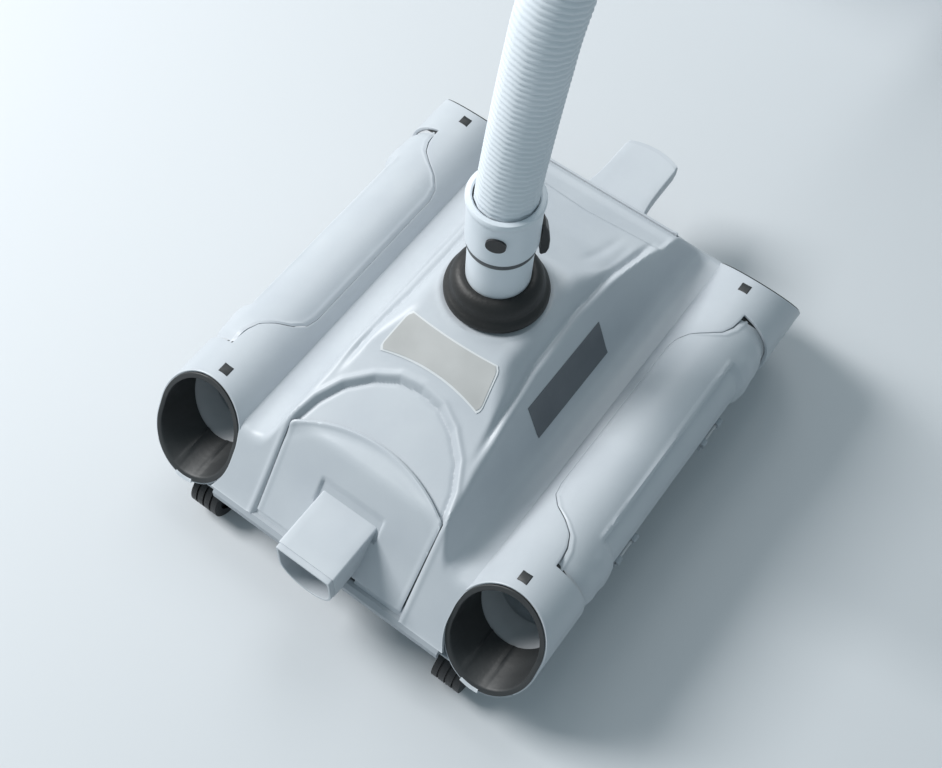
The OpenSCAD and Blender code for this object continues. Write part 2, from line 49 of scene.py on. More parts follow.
# ---------------------------------------------------------------- camera
TARGET = Vector((0.0035, -0.0289, 0.082))
DISTANCE = 1.0176
AZ, EL, ROLL = (math.radians(a) for a in (31.93, 60.91, 4.84))
back = Vector((math.sin(AZ) * math.cos(EL), -math.cos(AZ) * math.cos(EL), math.sin(EL)))
right0 = Vector((math.cos(AZ), math.sin(AZ), 0))
up0 = back.cross(right0)
right = math.cos(ROLL) * right0 + math.sin(ROLL) * up0
up = -math.sin(ROLL) * right0 + math.cos(ROLL) * up0
cam_data = bpy.data.cameras.new("camera")
cam_data.lens = 51.28
cam_data.sensor_width = 36
cam_data.clip_start = 0.01
cam = bpy.data.objects.new("camera", cam_data)
rot = Matrix((right, up, back)).transposed()
cam.matrix_world = Matrix.Translation(TARGET + back * DISTANCE) @ rot.to_4x4()
bpy.context.collection.objects.link(cam)
bpy.context.scene.camera = cam


# ---------------------------------------------------------------- materials
def material(name, dark, light, rough, bump=0.06, scale=260, spec=0.5, coat=0.0, blotch=22, edge_highlight=None):
    """A moulded surface: two close colours in soft blotches, uneven gloss and a fine grain, with a painted
    highlight on convex edges when edge_highlight is given.
    """
    m = bpy.data.materials.new(name)
    m.use_nodes = True
    nt = m.node_tree
    n, link = nt.nodes, nt.links.new
    p = n["Principled BSDF"]
    p.inputs["Specular IOR Level"].default_value = spec
    p.inputs["Coat Weight"].default_value = coat
    tc = n.new("ShaderNodeTexCoord")
    big = n.new("ShaderNodeTexNoise")
    big.inputs["Scale"].default_value = blotch
    big.inputs["Detail"].default_value = 4
    link(tc.outputs["Object"], big.inputs["Vector"])
    ramp = n.new("ShaderNodeValToRGB")
    ramp.color_ramp.elements[0].position = 0.3
    ramp.color_ramp.elements[1].position = 0.7
    ramp.color_ramp.elements[0].color = (*dark, 1)
    ramp.color_ramp.elements[1].color = (*light, 1)
    link(big.outputs["Fac"], ramp.inputs["Fac"])
    colour = ramp.outputs["Color"]
    # Painted highlight: convex edges, found by pointiness, are mixed towards a lighter grey.
    if edge_highlight:
        geo = n.new("ShaderNodeNewGeometry")
        edge = n.new("ShaderNodeMapRange")
        edge.inputs["From Min"].default_value = 0.53
        edge.inputs["From Max"].default_value = 0.62
        link(geo.outputs["Pointiness"], edge.inputs["Value"])
        mix = n.new("ShaderNodeMix")
        mix.data_type = "RGBA"
        link(edge.outputs["Result"], mix.inputs["Factor"])
        link(colour, mix.inputs["A"])
        mix.inputs["B"].default_value = (*edge_highlight, 1)
        colour = mix.outputs["Result"]
    link(colour, p.inputs["Base Color"])
    fine = n.new("ShaderNodeTexNoise")
    fine.inputs["Scale"].default_value = scale
    fine.inputs["Detail"].default_value = 3
    link(tc.outputs["Object"], fine.inputs["Vector"])
    rr = n.new("ShaderNodeMapRange")
    rr.inputs["To Min"].default_value = rough - 0.05
    rr.inputs["To Max"].default_value = rough + 0.07
    link(big.outputs["Fac"], rr.inputs["Value"])
    link(rr.outputs["Result"], p.inputs["Roughness"])
    b = n.new("ShaderNodeBump")
    b.inputs["Strength"].default_value = bump
    b.inputs["Distance"].default_value = 0.001
    link(fine.outputs["Fac"], b.inputs["Height"])
    link(b.outputs["Normal"], p.inputs["Normal"])
    return m


# Lighter grey painted on the convex edges of the shell and panels as a highlight.
EDGE_HIGHLIGHT_GREY = (0.66, 0.69, 0.72)
M = {
    "shell_grey": material("shell_grey", (0.48, 0.51, 0.545), (0.52, 0.55, 0.58), 0.42, edge_highlight=EDGE_HIGHLIGHT_GREY),
    "panel_grey": material("panel_grey", (0.49, 0.52, 0.555), (0.53, 0.56, 0.59), 0.42, edge_highlight=EDGE_HIGHLIGHT_GREY),
    "chassis_grey": material("chassis_grey", (0.36, 0.39, 0.42), (0.41, 0.44, 0.47), 0.6, 0.12),
    "liner_charcoal": material("liner_charcoal", (0.024, 0.026, 0.027), (0.036, 0.038, 0.039), 0.5, 0.15),
    "bore_grey": material("bore_grey", (0.45, 0.47, 0.49), (0.53, 0.54, 0.56), 0.5, 0.1),
    "screen_grey": material("screen_grey", (0.17, 0.18, 0.19), (0.22, 0.23, 0.24), 0.55, 0.15),
    "boot_rubber": material("boot_rubber", (0.011, 0.0105, 0.01), (0.02, 0.019, 0.018), 0.5, 0.25, 420),
    "swivel_white": material("swivel_white", (0.68, 0.73, 0.77), (0.73, 0.77, 0.81), 0.33),
    "hose_white": material("hose_white", (0.68, 0.73, 0.77), (0.74, 0.78, 0.82), 0.45),
    "button_dark": material("button_dark", (0.012, 0.012, 0.013), (0.024, 0.023, 0.024), 0.42, 0.1),
    "coupling_grey": material("coupling_grey", (0.07, 0.075, 0.08), (0.1, 0.105, 0.11), 0.5, 0.15),
    "steel": material("steel", (0.5, 0.5, 0.51), (0.6, 0.6, 0.61), 0.3, 0.05),
    "bronze": material("bronze", (0.5, 0.36, 0.15), (0.6, 0.45, 0.2), 0.4, 0.1),
    "gear_ivory": material("gear_ivory", (0.7, 0.67, 0.55), (0.76, 0.73, 0.62), 0.45),
    "valve_orange": material("valve_orange", (0.65, 0.24, 0.04), (0.75, 0.3, 0.06), 0.4),
    "duct_grey": material("duct_grey", (0.27, 0.29, 0.31), (0.32, 0.34, 0.36), 0.5, 0.1),
    "impeller_blue": material("impeller_blue", (0.08, 0.22, 0.45), (0.12, 0.28, 0.55), 0.4),
    "wheel_rubber": material("wheel_rubber", (0.005, 0.005, 0.006), (0.012, 0.012, 0.013), 0.45, 0.3, 380),
    "badge_grey": material("badge_grey", (0.43, 0.43, 0.42), (0.52, 0.52, 0.51), 0.35, 0.03),
    "badge_line": material("badge_line", (0.64, 0.66, 0.67), (0.7, 0.71, 0.72), 0.35, 0.03),
    "label_dark": material("label_dark", (0.11, 0.12, 0.135), (0.15, 0.16, 0.175), 0.5, 0.08),
}
for metal in ("steel", "bronze"):
    M[metal].node_tree.nodes["Principled BSDF"].inputs["Metallic"].default_value = 1.0
for part in frame["record"]["subparts"]:
    node = nodes[part["node"]]
    mat = M[part["material_slot"]]
    if not node.data.materials:
        node.data.materials.append(mat)
    for s in node.material_slots:
        s.material = mat


# ---------------------------------------------------------------- mesh helpers
def mesh_object(name, verts, faces, mat, body, slot=None, angle=35):
    me = bpy.data.meshes.new(name)
    me.from_pydata([tuple(v) for v in np.asarray(verts, float) * MM], [], faces)
    me.update()
    bm = bmesh.new()
    bm.from_mesh(me)
    bmesh.ops.remove_doubles(bm, verts=bm.verts, dist=1e-6)
    bmesh.ops.recalc_face_normals(bm, faces=bm.faces)
    bm.to_mesh(me)
    bm.free()
    me.materials.append(M[mat])
    smooth(me, angle)
    o = bpy.data.objects.new(name, me)
    bpy.context.collection.objects.link(o)
    if body:
        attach(o, body)
    return o


def smooth(me, angle=35):
    """Smooth shading, with edges over the angle kept sharp."""
    me.polygons.foreach_set("use_smooth", [True] * len(me.polygons))
    me.set_sharp_from_angle(angle=math.radians(angle))


def grid_faces(rows, cols, wrap_u=False, wrap_v=False, keep=None):
    """Quads over rows x cols points. wrap_v joins the last row to the first, wrap_u the columns."""
    out = []
    for i in range(rows if wrap_v else rows - 1):
        for j in range(cols if wrap_u else cols - 1):
            if keep is None or keep(i, j):
                a, b = i * cols + j, i * cols + (j + 1) % cols
                c, d = ((i + 1) % rows) * cols + (j + 1) % cols, ((i + 1) % rows) * cols + j
                out.append((a, b, c, d))
    return out


def applied(o, *mods):
    """Adds modifiers (type, settings), applies them and smooths again."""
    for kind, settings in mods:
        m = o.modifiers.new(kind.lower(), kind)
        for k, v in settings.items():
            setattr(m, k, v)
    dg = bpy.context.evaluated_depsgraph_get()
    me = bpy.data.meshes.new_from_object(o.evaluated_get(dg))
    o.modifiers.clear()
    o.data = me
    smooth(me)
    return o


def thick(width, offset=-1):
    """Settings that give a sheet its wall, in mm."""
    return "SOLIDIFY", {"thickness": width * MM, "offset": offset}


def soft_edges(width, segments=2):
    """Settings that round the sharp edges of a piece, in mm."""
    return "BEVEL", {"width": width * MM, "segments": segments, "limit_method": "ANGLE",
                     "angle_limit": math.radians(50)}


def orient(o, inside):
    """Turns the faces of an open sheet so that they look away from a point, in mm."""
    bm = bmesh.new()
    bm.from_mesh(o.data)
    p = Vector(inside) * MM
    score = sum(f.normal.dot(f.calc_center_median() - p) * f.calc_area() for f in bm.faces)
    if score < 0:
        bmesh.ops.reverse_faces(bm, faces=bm.faces)
        bm.to_mesh(o.data)
    bm.free()


def lathe(name, profile, mat, body, sides=96, at=(0, 0)):
    """A closed [r, z] profile turned about an upright axis."""
    rows = [[(at[0] + r * math.cos(a), at[1] + r * math.sin(a), z) for r, z in profile]
            for a in (2 * math.pi * k / sides for k in range(sides))]
    n = len(profile)
    return mesh_object(name, [p for row in rows for p in row], grid_faces(sides, n, True, True), mat, body)


def prism(outline, z0, z1):
    """An upright cutter over an (x, y) outline."""
    n = len(outline)
    verts = [(x, y, z) for z in (z0, z1) for x, y in outline]
    faces = [tuple(range(n))[::-1], tuple(range(n, 2 * n))]
    faces += [(i, (i + 1) % n, n + (i + 1) % n, n + i) for i in range(n)]
    return mesh_object("cutter", verts, faces, "shell_grey", None)


def cut(o, *cutters):
    """Takes cutters away from a piece and deletes them."""
    for c in cutters:
        applied(o, ("BOOLEAN", {"object": c, "operation": "DIFFERENCE", "solver": "EXACT"}))
        bpy.data.objects.remove(c)
    return o


def soft_step(x):
    """0 up to x = 0, 1 from x = 1, with a smooth rise between."""
    x = np.clip(x, 0, 1)
    return x * x * (3 - 2 * x)


# ---------------------------------------------------------------- hose
# LEAD is the hose's way from the collar to its coil, as (distance along HEAD, height). HEAD turns from
# +y to +x.
HEAD = math.radians(10.25)
LEAD = [
    (0, 262), (1, 290), (7, 340), (14, 388), (23, 435), (46, 498), (87, 546.5), (145, 578),
    (202, 587), (268, 588), (335, 577), (390, 546), (427, 507), (453, 454), (487, 382),
    (521, 308), (555, 236), (581, 180), (606.6, 125.4), (627.9, 90.7), (656.4, 61.6),
    (690.8, 39.7), (729.2, 26.1), (769.7, 21.5), (795, 21.5), (820, 21.5),
]
COIL, COIL_R, RISE, LEVELS = (-66.9, 894.3), 225, 44, 4
HOSE_R = 21.5
TURN_POINTS = 24
TAIL_END, TAIL_STEP, TAIL_LOW, TAIL_RISE = 95, 12, 197.5, 10.5
PITCH = 4.2


def hose_route():
    """Route points and each one's sideways direction, in mm."""
    pts = [(d * math.sin(HEAD), d * math.cos(HEAD), z) for d, z in LEAD]
    side = [(math.cos(HEAD), -math.sin(HEAD), 0)] * len(pts)

    def ring(a, z):
        pts.append((COIL[0] + COIL_R * math.cos(a), COIL[1] + COIL_R * math.sin(a), z))
        side.append((math.cos(a), math.sin(a), 0))

    for k in range(TURN_POINTS * LEVELS + 1):
        level, u = divmod(k / TURN_POINTS, 1)
        climb = float(soft_step((u - 0.75) / 0.25))
        ring(-HEAD + 2 * math.pi * k / TURN_POINTS, HOSE_R + RISE * (level + climb))
    for a in range(5, TAIL_END, TAIL_STEP):
        ring(math.radians(a), TAIL_LOW + TAIL_RISE * (a / TAIL_END) ** 2)
    ring(math.radians(TAIL_END), TAIL_LOW + TAIL_RISE)
    return np.array(pts), np.array(side)


def resample(pts, side, step):
    """Even points on a smooth curve through the route."""
    p = np.vstack([2 * pts[0] - pts[1], pts, 2 * pts[-1] - pts[-2]])
    out, sd = [], []
    for i in range(1, len(p) - 2):
        for t in np.linspace(0, 1, 24, endpoint=False):
            a, b, c, d = p[i - 1], p[i], p[i + 1], p[i + 2]
            square, cube = 2 * a - 5 * b + 4 * c - d, 3 * b - a - 3 * c + d
            out.append(0.5 * (2 * b + (c - a) * t + square * t**2 + cube * t**3))
            sd.append(side[i - 1] * (1 - t) + side[i] * t)
    out.append(p[-2])
    sd.append(side[-1])
    out, sd = np.array(out), np.array(sd)
    s = np.concatenate([[0], np.cumsum(np.linalg.norm(np.diff(out, axis=0), axis=1))])
    n = int(s[-1] / step) + 1
    at = np.linspace(0, s[-1], n)
    return (np.column_stack([np.interp(at, s, out[:, k]) for k in range(3)]),
            np.column_stack([np.interp(at, s, sd[:, k]) for k in range(3)]), s[-1])


route, sides_dir = hose_route()
RIB = np.array([0.0, -0.15, -0.85, -0.15])
HOSE_SIDES = 14
END_RINGS, END_INSET = 3, 0.6
line, line_side, hose_len = resample(route, sides_dir, PITCH / len(RIB))
tang = np.gradient(line, axis=0)
tang /= np.linalg.norm(tang, axis=1)[:, None]
line_side -= (line_side * tang).sum(1)[:, None] * tang
line_side /= np.linalg.norm(line_side, axis=1)[:, None]
line_up = np.cross(tang, line_side)
radius = HOSE_R + RIB[np.arange(len(line)) % len(RIB)]
radius[:END_RINGS] = HOSE_R - END_INSET
radius[-END_RINGS:] = HOSE_R - END_INSET
ang = np.arange(HOSE_SIDES) * 2 * np.pi / HOSE_SIDES
outward = np.cos(ang)[None, :, None] * line_side[:, None, :]
outward = outward + np.sin(ang)[None, :, None] * line_up[:, None, :]
verts = (line[:, None, :] + radius[:, None, None] * outward).reshape(-1, 3)
faces = grid_faces(len(line), HOSE_SIDES, wrap_u=True)
last_ring = (len(line) - 1) * HOSE_SIDES
faces += [tuple(range(HOSE_SIDES))[::-1], tuple(range(last_ring, last_ring + HOSE_SIDES))]
hose = mesh_object("hose", verts, faces, "hose_white", "swivel", angle=70)
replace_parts(hose, "hose_tube", "hose_coil")

end = line[-1]
end_dir = tang[-1]
end_up = np.array([0, 0, 1.0])
end_side = np.cross(end_up, end_dir)


def along_end(name, profile, mat, sides=64):
    """A closed [r, distance] profile turned about the hose's last direction."""
    rows = []
    for k in range(sides):
        a = 2 * math.pi * k / sides
        rows += [end + end_dir * d + r * (math.cos(a) * end_side + math.sin(a) * end_up) for r, d in profile]
    return mesh_object(name, rows, grid_faces(sides, len(profile), True, True), mat, "swivel")


connector = along_end("hose_end_coupling", [
    (19, 0), (23, 0), (24, 1), (24.5, 3), (24.5, 9), (23.7, 10), (23.7, 12), (24.5, 13), (24.5, 27),
    (28, 31), (29, 33), (28.2, 35), (28.2, 37), (29, 39), (28.2, 41), (28.2, 43), (29, 45), (29, 57),
    (28, 60), (20.5, 60), (19, 58),
], "coupling_grey")
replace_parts(connector, "hose_connector")

# ---------------------------------------------------------------- body surface
# HALF_SIDE is the body's outline seen from the side, as (distance from the middle, height). Front and rear
# are mirror images. CROSS is the outline seen from the front, as (distance from the middle, height).
HALF_SIDE = [(206, 52), (198, 61.5), (150, 131), (86, 152), (42, 176)]
SIDE = np.array([(-y, z) for y, z in HALF_SIDE] + HALF_SIDE[::-1], float)
CROSS = np.array([(0, 178), (38, 177), (63, 150), (79, 108), (90, 103), (106, 104)], float)
# GROOVE is the line along the hump's side, as (y, distance from the middle). HORSESHOE is the edge of the
# recess over the front flap, as (distance from the middle, y).
GROOVE = np.array([
    (-110, 60), (-77, 57), (-30, 51.5), (30, 50), (60, 51.5), (90, 54), (125, 57.5)], float)
HORSESHOE = np.array([
    (0, -86), (18, -88.5), (34, -97), (50, -112), (60, -130), (66, -152), (68, -210)], float)
TUBE_X, TUBE_Z, TUBE_R, TUBE_RISE = 135, 82, 37, 4
SLEEVE_R = 31.8
RIBS_AT, RIB_HEIGHT = (-10, 8), 1.2
CATCH_AT = (132, 146)
MOUTH_Y, MOUTH_SLOPE = 182, math.tan(math.radians(31.4))
SPOUT_W, SPOUT_HOLE = 49, 21


def rounded(table, x, width):
    """Reads a table of straight stretches with its corners eased over width."""
    return sum(np.interp(x + d * width, table[:, 0], table[:, 1]) for d in (-1, -0.5, 0, 0.5, 1)) / 5


def soft_min(a, b, k):
    """The lower of two heights, with their meeting line rounded over k."""
    h = np.clip(0.5 + 0.5 * (b - a) / k, 0, 1)
    return b * (1 - h) + a * h - k * h * (1 - h)


def edge_distance(x, y, line_pts):
    """Signed distance to an open outline given for x >= 0, positive towards the front middle."""
    x = np.abs(x)
    best = np.full(x.shape, 1e9)
    for (x0, y0), (x1, y1) in zip(line_pts[:-1], line_pts[1:]):
        dx, dy = x1 - x0, y1 - y0
        t = np.clip(((x - x0) * dx + (y - y0) * dy) / (dx * dx + dy * dy), 0, 1)
        best = np.minimum(best, np.hypot(x - x0 - t * dx, y - y0 - t * dy))
    limit = np.interp(-y, -line_pts[:, 1], line_pts[:, 0], left=-1)
    return np.where(x < limit, best, -best)


def bump(d, width):
    """A soft ridge: 1 at d = 0, fading over width."""
    return np.exp(-((d / width) ** 2))


def height(x, y):
    """Height of the middle body's skin."""
    x, y = np.asarray(x, float), np.asarray(y, float)
    ax = np.abs(x)
    z = soft_min(rounded(SIDE, y, 5), rounded(CROSS, ax, 4), 7)
    sunk = edge_distance(x, y, HORSESHOE)
    z = z - 3.6 * soft_step((sunk + 1.2) / 2.4) - 0.9 * bump(sunk - 1.6, 1.6) + 1.1 * bump(sunk + 3.0, 1.8)
    along = soft_step((y + 114) / 40) * soft_step((134 - y) / 30)
    out = ax - np.interp(y, GROOVE[:, 0], GROOVE[:, 1])
    z = z + along * (2.6 * bump(out - 6.5, 3.0) - 3.4 * bump(out, 2.6))
    back = soft_step((68 - ax) / 6)
    z = z - back * 2.0 * soft_step((y - 119 - 0.08 * ax) / 3) * soft_step((150 - y) / 14)
    fold = soft_step((y - 60) / 20) * soft_step((120 - y) / 20)
    z = z - 0.9 * fold * (bump(ax - 30 - 0.15 * (y - 60), 4) + 0.7 * bump(ax - 47, 4))
    r = np.hypot(x, y)
    return z + 0.8 * bump(r - 41, 1.6)


def tube_side_x(z):
    """Distance from the middle to a side tube's inner side at height z."""
    dz = np.maximum(np.maximum(z - TUBE_Z - TUBE_RISE, TUBE_Z - TUBE_RISE - z), 0)
    return TUBE_X - np.sqrt(np.maximum(TUBE_R**2 - dz**2, 0))


def body_skin():
    """Points and faces of the middle body, finer where the recess and the rear edge are."""
    ys = np.concatenate([np.linspace(-203.5, -150, 44), np.linspace(-148.8, -84, 52),
                         np.linspace(-82, 112, 96), np.linspace(113, 156, 44), np.linspace(157.5, 203.5, 32)])
    s = np.linspace(-1, 1, 191)
    edge = tube_side_x(np.minimum(rounded(SIDE, ys, 5), 104)) + 1.5
    x = s[None, :] * edge[:, None]
    y = np.repeat(ys[:, None], len(s), 1)
    return np.stack([x, y, height(x, y)], -1).reshape(-1, 3), grid_faces(len(ys), len(s))


shell = mesh_object("shell_middle", *body_skin(), "shell_grey", "base")
orient(shell, (0, 0, 0))
applied(shell, thick(3))
ARCH_R, ARCH_Y, FLAP_HALF = 119, -131, 66
REAR_HALF, REAR_EDGE_Y = 67.2, 150.3
PIPE_HOLE_R = 31


def rectangle(half, y0, y1):
    return [(-half, y0), (half, y0), (half, y1), (-half, y1)]


def spout_half(margin):
    """Half of the width of a flap's spout, with a margin."""
    return SPOUT_W / 2 + margin


def arch(margin, front):
    """Outline of the front flap's opening: an arch of radius ARCH_R and straight sides."""
    half = FLAP_HALF + margin
    a0 = math.asin(min(half / (ARCH_R + margin), 1))
    pts = [(math.sin(a) * (ARCH_R + margin), ARCH_Y - ARCH_R + math.cos(a) * (ARCH_R + margin))
           for a in np.linspace(a0, -a0, 41)]
    return pts + [(-half, front), (half, front)]


cut(shell,
    prism(arch(0.7, -230), 60.5, 170),
    prism(rectangle(spout_half(0.9), -230, -150), 44, 99),
    prism(rectangle(REAR_HALF, REAR_EDGE_Y, 230), 60.8, 140),
    prism([(PIPE_HOLE_R * math.cos(a), PIPE_HOLE_R * math.sin(a))
           for a in np.linspace(0, 2 * math.pi, 48, endpoint=False)], 120, 200))

# ---------------------------------------------------------------- side tubes and covers
# COVER is the upper edge of a side cover, as (distance from the middle along y, x).
COVER = np.array([(0, 110.5), (70, 110.5), (80, 112.5), (88, 119), (95, 130), (102, 138.5), (111, 142.5),
                  (120, 143.8), (126, 144), (250, 144)], float)
LOW_Z = 56.0
FOLD_A, FLANK = math.radians(51), 3.0
TUBE_MID, LIP_GROW, COVER_END = 126, 0.3, 124.8


def arc_point(a, r):
    """A point on a tube's round-ended outline, a from the outer side over the top, in radians."""
    rise = math.copysign(TUBE_RISE, math.sin(a))
    return TUBE_X + r * math.cos(a), TUBE_Z + rise + r * math.sin(a)


def low_angle(r, z=LOW_Z):
    """Angle of the outline's lower end, at height z."""
    return math.asin((z - TUBE_Z + TUBE_RISE) / r)


def edge_angle(x, r):
    """Angle of the point on the outline's top whose x is given."""
    return math.acos((x - TUBE_X) / r)


def mouth_at(z, inset=0):
    """Distance along y of a mouth's slanted plane at height z."""
    return MOUTH_Y - inset - (z - TUBE_Z) * MOUTH_SLOPE


def tube_stations():
    """Places along y between the mouths, and fractions of the way from there to a mouth."""
    mid = np.unique(np.concatenate([
        np.linspace(-70, 70, 21), np.linspace(70, TUBE_MID, 30), np.linspace(-TUBE_MID, -70, 30)]))
    ends = np.linspace(0, 1, 26)[1:]
    return mid, ends


def tube_shell(side):
    """One side tube: a full round at both ends, and open on its outer side where the cover goes."""
    mid, ends = tube_stations()
    n_in, n_out = 40, 34
    r = TUBE_R
    rows, flags = [], []
    a_out, a_in = low_angle(r), math.pi - low_angle(r)
    table = [("end", -e) for e in ends[::-1]] + [("mid", y) for y in mid] + [("end", e) for e in ends]
    for kind, v in table:
        y_here = v if kind == "mid" else math.copysign(TUBE_MID, v)
        ae = edge_angle(float(np.interp(abs(y_here), COVER[:, 0], COVER[:, 1])), r)
        angs = np.concatenate([np.linspace(a_in, ae, n_in), np.linspace(ae, a_out, n_out)[1:]])
        row = []
        for a in angs:
            rr = r
            if kind == "end":
                rr = r + LIP_GROW * math.exp(-(((abs(v) - 0.975) / 0.02) ** 2))
            x, z = arc_point(a, rr)
            y = y_here
            if kind == "end":
                y = math.copysign(TUBE_MID + abs(v) * (mouth_at(z) - TUBE_MID), v)
            row.append((side * x, y, z))
        rows += row
        flags.append(kind == "mid")
    cols = n_in + n_out - 1

    def keep(i, j):
        return not (flags[i] and flags[i + 1] and j >= n_in - 1)

    name = "shell_tube_" + ("right" if side > 0 else "left")
    o = mesh_object(name, rows, grid_faces(len(table), cols, keep=keep), "shell_grey", "base")
    orient(o, (side * TUBE_X, 0, TUBE_Z))
    return applied(o, thick(2.8), soft_edges(0.5))


def side_cover(side):
    """Panel over the middle of a tube, with a fold along it and a flatter flank below."""
    ys = np.unique(np.concatenate([
        np.linspace(-COVER_END, -70, 64), np.linspace(-70, 70, 21), np.linspace(70, COVER_END, 64)]))
    n = 70
    rows = []
    for y in ys:
        r0 = TUBE_R - 0.3 - 3.2 * float(soft_step((abs(y) - 112) / 13)) ** 1.5
        gap = 0.3 + 0.6 * float(soft_step((abs(y) - 100) / 14))
        xe = float(np.interp(abs(y) + 0.4, COVER[:, 0], COVER[:, 1])) + gap
        ae = edge_angle(xe, r0)
        flank = float(soft_step((91 - abs(y)) / 7))
        fold_a = FOLD_A + 0.02 * math.sin(y / 40)
        for a in np.linspace(ae, low_angle(r0, 57.2), n):
            x, z = arc_point(a, r0)
            below = float(soft_step((fold_a - a) / 0.06))
            dent = -FLANK * flank * below
            dent += flank * 0.8 * float(bump((a - fold_a) * r0 - 2.4, 1.5))
            dent += 0.5 * float(bump((a - ae) * r0 + 3.0, 1.4))
            dent += 0.9 * float(bump(abs(y) - 98, 6)) * float(soft_step((fold_a - a) / 0.3))
            k = 1 + dent / r0
            rows.append((side * (TUBE_X + (x - TUBE_X) * k), y, TUBE_Z + (z - TUBE_Z) * k))
    name = "cover_" + ("right" if side > 0 else "left")
    o = mesh_object(name + "_panel", rows, grid_faces(len(ys), n), "panel_grey", name)
    orient(o, (side * TUBE_X, 0, TUBE_Z))
    return applied(o, thick(2.0), soft_edges(0.6, 3))


def liner(sx, sy, name, sections, mat):
    """A round-ended sleeve in a mouth. Each section is (radius, depth behind the mouth's plane)."""
    n = 96
    rows = []
    for r, depth in sections:
        for a in np.linspace(0, 2 * math.pi, n, endpoint=False):
            s = math.sin(a)
            x, z = TUBE_X + r * math.cos(a), TUBE_Z + math.copysign(TUBE_RISE, s) + r * s
            rib = 0
            if depth > 2 and r < SLEEVE_R + 0.5 and s < -0.5:
                rib = RIB_HEIGHT * sum(math.exp(-(((x - TUBE_X - c) / 0.8) ** 2)) for c in RIBS_AT)
            rows.append((sx * x, sy * mouth_at(z, depth), z + rib))
    return mesh_object(name, rows, grid_faces(len(sections), n, wrap_u=True, wrap_v=True), mat, "base")


def mouth_tab(sx, sy, name):
    """Small clip tab on the lower edge of a mouth."""
    n = 9
    rows = []
    section = ((37.2, 1.5), (37.5, -0.6), (37.0, -1.3), (34.9, -1.3), (34.4, -0.6), (34.4, 1.5))
    for r, depth in section:
        for a in np.linspace(math.radians(256), math.radians(280), n):
            x, z = TUBE_X + r * math.cos(a), TUBE_Z - TUBE_RISE + r * math.sin(a)
            rows.append((sx * x, sy * mouth_at(z, depth), z))
    total = n * len(section)
    faces = grid_faces(len(section), n, wrap_v=True)
    faces += [tuple(range(0, total, n))[::-1], tuple(range(n - 1, total, n))]
    return mesh_object(name, rows, faces, "panel_grey", "base")


def window(sx, sy, name):
    """Dark catch that shows in a small square opening over a mouth."""
    rows = []
    for half, lift in ((4.0, -1.5), (4.0, 0.1), (3.4, 0.5), (0.01, 0.5)):
        for u, v in ((-1, -1), (1, -1), (1, 1), (-1, 1)):
            x, y = CATCH_AT[0] + u * half, CATCH_AT[1] + v * half
            z = TUBE_Z + TUBE_RISE + math.sqrt(TUBE_R**2 - (x - TUBE_X) ** 2) + lift
            rows.append((sx * x, sy * y, z))
    return mesh_object(name, rows, grid_faces(4, 4, wrap_u=True), "liner_charcoal", "base")


SLEEVE = [(33.9, 0.2), (35.4, 0.05), (35.9, -0.3), (35.6, -0.8), (32.6, -0.8), (SLEEVE_R + 0.3, -0.4)]
SLEEVE += [(SLEEVE_R, depth) for depth in (1.0, 12, 24, 37)] + [(33.9, 37)]
BORE = [(33.8, 36), (32.9, 36), (33.0, 60), (33.8, 60)]
tubes = [tube_shell(s) for s in (1, -1)]
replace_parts(shell, "upper_shell")
for o in tubes:
    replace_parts(o, "upper_shell")
for s, word in ((1, "right"), (-1, "left")):
    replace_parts(side_cover(s), "side_cover_" + word)
    for e, end_word in ((1, "rear"), (-1, "front")):
        node = f"liner_{end_word}_{word}"
        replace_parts(liner(s, e, node + "_sleeve", SLEEVE, "liner_charcoal"), node)
        bore = liner(s, e, node + "_bore", BORE, "bore_grey")
        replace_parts(bore, node)
        window(s, e, node + "_catch")
        mouth_tab(s, e, node + "_tab")


# ---------------------------------------------------------------- flaps
def spout_ring(half, side, shrink, y, bow=0.0):
    """One D-shaped ring: a flat top with small corners, straight sides and a round bottom."""
    w, corner = half - shrink, 1.6
    pts = [(x, -shrink) for x in np.linspace(-w + corner, w - corner, 9)]
    pts += [(w - corner * (1 - math.sin(a)), -shrink - corner * (1 - math.cos(a))) for a in (0.5, 1.1)]
    pts += [(w, -shrink - corner - (side - shrink - corner) * t) for t in (0.0, 0.5, 1.0)]
    pts += [(w * math.cos(a), -side - w * math.sin(a)) for a in np.linspace(0, math.pi, 21)[1:-1]]
    pts += [(-w, -side + (side - shrink - corner) * t) for t in (0.0, 0.5, 1.0)]
    pts += [(-w + corner * (1 - math.sin(a)), -shrink - corner * (1 - math.cos(a))) for a in (1.1, 0.5)]
    return [(x, y + bow * (1 - (x / half) ** 2), z) for x, z in pts]


def spout(name, y0, y1, top, side, body, root=0.0, bow=0.0):
    """A hollow spout from y0 inside the flap to y1 at its mouth, with a stepped lip."""
    sign = math.copysign(1, y1 - y0)
    half = SPOUT_W / 2
    lip, wall, flare_end = 4.5, 2.7, 32
    rings = [(y0 + sign * d, half + root * math.exp(-d / 12), 0) for d in (0, 6, 12, 20, flare_end)]
    rings += [(y1 - sign * d, half, shrink)
              for d, shrink in ((lip, 0), (lip, 0.7), (0.3, 0.7), (0, 1.0), (0, 2.4), (0.4, wall))]
    rings += [(y0 + sign * d, half, wall) for d in (flare_end, 12, 0)]
    rows = [spout_ring(h, side, k, y, bow if abs(y - y0) > flare_end else 0) for y, h, k in rings]
    verts = [(x, y, top + z) for row in rows for x, y, z in row]
    return mesh_object(name, verts, grid_faces(len(rows), len(rows[0]), wrap_u=True), "panel_grey", body)


EYE_R = 4
FLAP_FOOT_Y = -198.5


